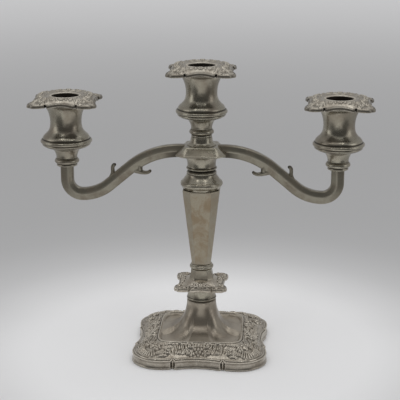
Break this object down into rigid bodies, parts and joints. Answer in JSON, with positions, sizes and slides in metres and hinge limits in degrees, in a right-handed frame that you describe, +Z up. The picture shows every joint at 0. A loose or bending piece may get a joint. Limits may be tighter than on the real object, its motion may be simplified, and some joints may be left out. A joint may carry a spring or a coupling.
{
  "type": "table candelabrum",
  "caption": "Table candelabrum with a lift-off branch of candle cups on a tapered faceted stem and a scrolled square base with a chased border.",
  "frame": {"origin": "middle of the base's underside, on the stem's axis", "axes": "+Z up the stem; +X along the arms towards the right light; -Y towards the front"},
  "size_m": [0.2772, 0.1094, 0.2393],
  "materials": {
    "plated_silver": "satin",
    "tarnished_silver": "satin",
    "pale_silver": "satin",
    "dull_tube": "satin",
    "fastener_steel": "satin",
    "plate_steel": "satin",
    "green_baize": "matte"
  },
  "bodies": {
    "candlestick": {"base": "plated_silver", "base_plate": "plate_steel", "baize": "green_baize", "bridge": "fastener_steel", "tie_washer": "fastener_steel", "tie_nut": "fastener_steel", "tie_rod": "fastener_steel", "foot_ring": "plated_silver", "tray": "plated_silver", "stem_neck": "plated_silver", "stem_bead": "plated_silver", "column": "tarnished_silver", "stem_socket": "plated_silver"},
    "plug": {"branch_plug": "plated_silver"},
    "branch": {"hub_block": "plated_silver", "left_arm": "plated_silver", "right_arm": "plated_silver", "centre_post": "plated_silver", "left_collar": "plated_silver", "left_cup_foot": "plated_silver", "left_cup": "plated_silver", "centre_collar": "plated_silver", "centre_cup_foot": "plated_silver", "centre_cup": "plated_silver", "right_collar": "plated_silver", "right_cup_foot": "plated_silver", "right_cup": "plated_silver", "cup_screws": "fastener_steel", "cup_washers": "fastener_steel"},
    "left_tube": {"left_nozzle_tube": "dull_tube"},
    "left_pan_body": {"left_pan": "pale_silver"},
    "centre_tube": {"centre_nozzle_tube": "dull_tube"},
    "centre_pan_body": {"centre_pan": "pale_silver"},
    "right_tube": {"right_nozzle_tube": "dull_tube"},
    "right_pan_body": {"right_pan": "pale_silver"}
  },
  "joints": [
    {"name": "branch_lift", "type": "slide", "parent": "candlestick", "child": "plug", "axis": [0, 0, 1], "range_m": [0, 0.03]},
    {"name": "branch_turn", "type": "hinge", "parent": "plug", "child": "branch", "pos_m": [0, 0, 0.168], "axis": [0, 0, 1], "continuous": true},
    {"name": "left_nozzle_lift", "type": "slide", "parent": "branch", "child": "left_tube", "axis": [0, 0, 1], "range_m": [0, 0.025]},
    {"name": "left_nozzle_turn", "type": "hinge", "parent": "left_tube", "child": "left_pan_body", "pos_m": [-0.1101, 0, 0.21], "axis": [0, 0, 1], "continuous": true},
    {"name": "centre_nozzle_lift", "type": "slide", "parent": "branch", "child": "centre_tube", "axis": [0, 0, 1], "range_m": [0, 0.025]},
    {"name": "centre_nozzle_turn", "type": "hinge", "parent": "centre_tube", "child": "centre_pan_body", "pos_m": [0, 0, 0.2356], "axis": [0, 0, 1], "continuous": true},
    {"name": "right_nozzle_lift", "type": "slide", "parent": "branch", "child": "right_tube", "axis": [0, 0, 1], "range_m": [0, 0.025]},
    {"name": "right_nozzle_turn", "type": "hinge", "parent": "right_tube", "child": "right_pan_body", "pos_m": [0.1101, 0, 0.21], "axis": [0, 0, 1], "continuous": true}
  ]
}
